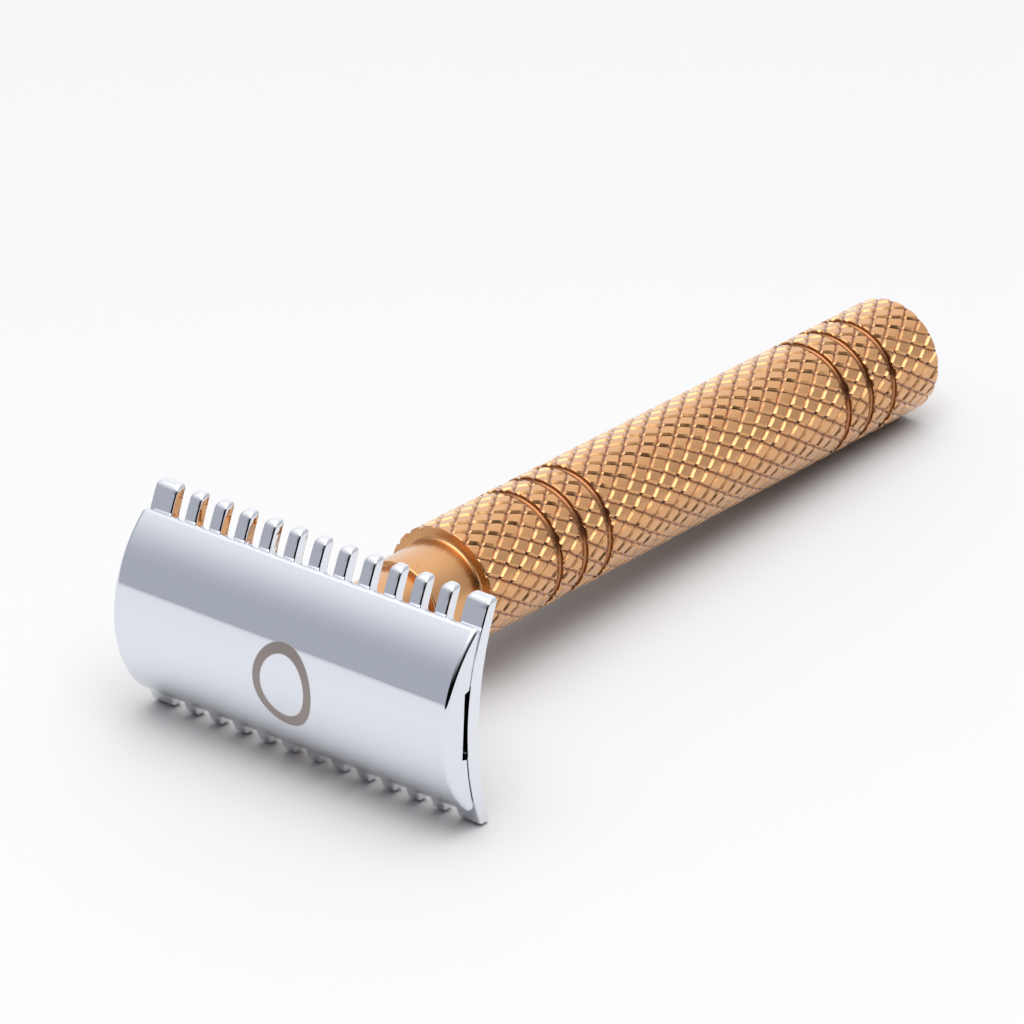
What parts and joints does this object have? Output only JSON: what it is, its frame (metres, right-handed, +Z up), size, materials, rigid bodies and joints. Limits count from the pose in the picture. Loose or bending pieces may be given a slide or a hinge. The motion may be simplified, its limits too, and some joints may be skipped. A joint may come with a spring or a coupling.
{
  "type": "safety razor",
  "caption": "Three-piece double-edge safety razor with a domed cap, an open-comb base plate and a knurled handle, lying on its comb.",
  "frame": {"origin": "centre of the object's footprint, on the surface it lies on", "axes": "+X along the head, +Y from the head towards the handle's butt, +Z up"},
  "size_m": [0.042, 0.1052, 0.0245],
  "materials": {
    "anodised_copper": "satin copper-toned anodising",
    "comb_chrome": "polished",
    "cap_chrome": "polished",
    "stud_steel": "turned"
  },
  "bodies": {
    "handle": {"handle": "anodised_copper"},
    "plate": {"comb_plate": "comb_chrome"},
    "cap": {"cap": "cap_chrome", "threaded_stud": "stud_steel", "alignment_post_left": "stud_steel", "alignment_post_right": "stud_steel"}
  },
  "joints": [
    {"name": "head_unscrew", "type": "hinge", "parent": "handle", "child": "plate", "pos_m": [0, 0.05224, 0.00647], "axis": [0, -0.9983, 0.0591], "range_deg": [0, 2880]},
    {"name": "cap_lift", "type": "slide", "parent": "plate", "child": "cap", "axis": [0, -0.9983, 0.0591], "range_m": [0, 0.0064]}
  ],
  "couplings": [
    {"joint": "cap_lift", "follows": "head_unscrew", "m_per_rad": 0.0001273}
  ]
}
